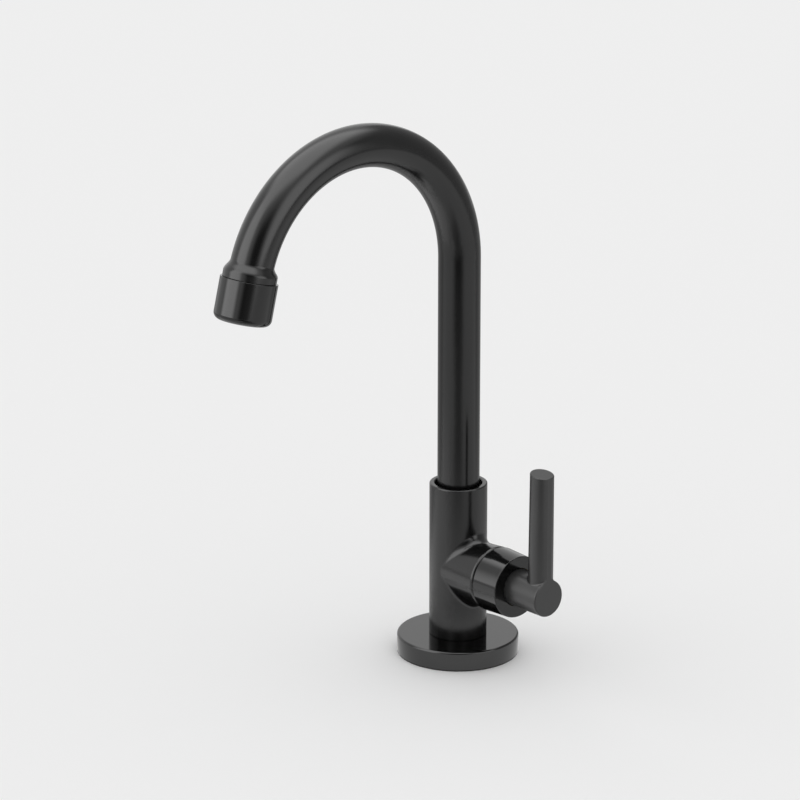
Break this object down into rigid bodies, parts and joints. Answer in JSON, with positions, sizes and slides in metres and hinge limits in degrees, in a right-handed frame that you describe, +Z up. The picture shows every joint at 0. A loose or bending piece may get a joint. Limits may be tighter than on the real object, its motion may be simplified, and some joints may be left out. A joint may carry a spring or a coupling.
{
  "type": "basin tap",
  "caption": "Gooseneck basin tap: round bent spout that swivels in a round body, quarter-turn side lever, round base flange, threaded shank with washers and nut.",
  "frame": {"origin": "centre of the base flange's underside, on the deck and on the tap's axis", "axes": "+Z up along the body, -Y towards the spout's outlet at rest, +X along the valve branch to the lever"},
  "size_m": [0.0881, 0.163, 0.308],
  "materials": {
    "coated_flange": "semi-gloss black coating",
    "coated_body": "satin black coating",
    "coated_cover": "semi-gloss black coating",
    "coated_lever": "satin black coating",
    "coated_tube": "satin black coating",
    "coated_cap": "satin black coating",
    "turned_brass": "bare, turned",
    "zinc_steel": "zinc plated",
    "stainless": "bare stainless",
    "black_rubber": "matt",
    "fibre": "matt vulcanised fibre",
    "ceramic": "lapped alumina",
    "white_acetal": "moulded",
    "black_acetal": "moulded",
    "grey_acetal": "moulded"
  },
  "bodies": {
    "base": {"base_flange": "coated_flange", "deck_gasket": "black_rubber", "threaded_shank": "turned_brass", "shank_seal": "black_rubber", "clamp_washer_rubber": "black_rubber", "clamp_washer_metal": "zinc_steel", "locknut": "turned_brass", "tap_body": "coated_body", "headwork_body": "turned_brass", "headwork_gasket": "fibre", "seat_seal": "black_rubber", "ceramic_disc_fixed": "ceramic", "friction_washer": "white_acetal", "bonnet_cover": "coated_cover", "spout_thrust_washer": "white_acetal", "spout_retaining_screw": "stainless"},
    "spout": {"spout_tube": "coated_tube", "spout_foot": "turned_brass", "spout_o_rings": "black_rubber", "spout_bearing_ring": "black_acetal", "outlet_insert": "coated_tube", "aerator_cap": "coated_cap", "aerator_seal": "black_rubber", "aerator_housing": "black_acetal", "aerator_screen": "grey_acetal", "aerator_diffuser": "grey_acetal", "aerator_grid": "grey_acetal"},
    "handle": {"lever_handle": "coated_lever", "handle_grub_screw": "stainless", "valve_spindle": "turned_brass", "spindle_o_rings": "black_rubber", "spindle_clip": "stainless", "ceramic_disc_moving": "ceramic"}
  },
  "joints": [
    {"name": "spout_swivel", "type": "hinge", "parent": "base", "child": "spout", "pos_m": [0, 0, 0.0761], "axis": [0, 0, 1], "continuous": true},
    {"name": "lever_turn", "type": "hinge", "parent": "base", "child": "handle", "pos_m": [0.0365, 0, 0.0418], "axis": [1, 0, 0], "range_deg": [0, 90]}
  ]
}
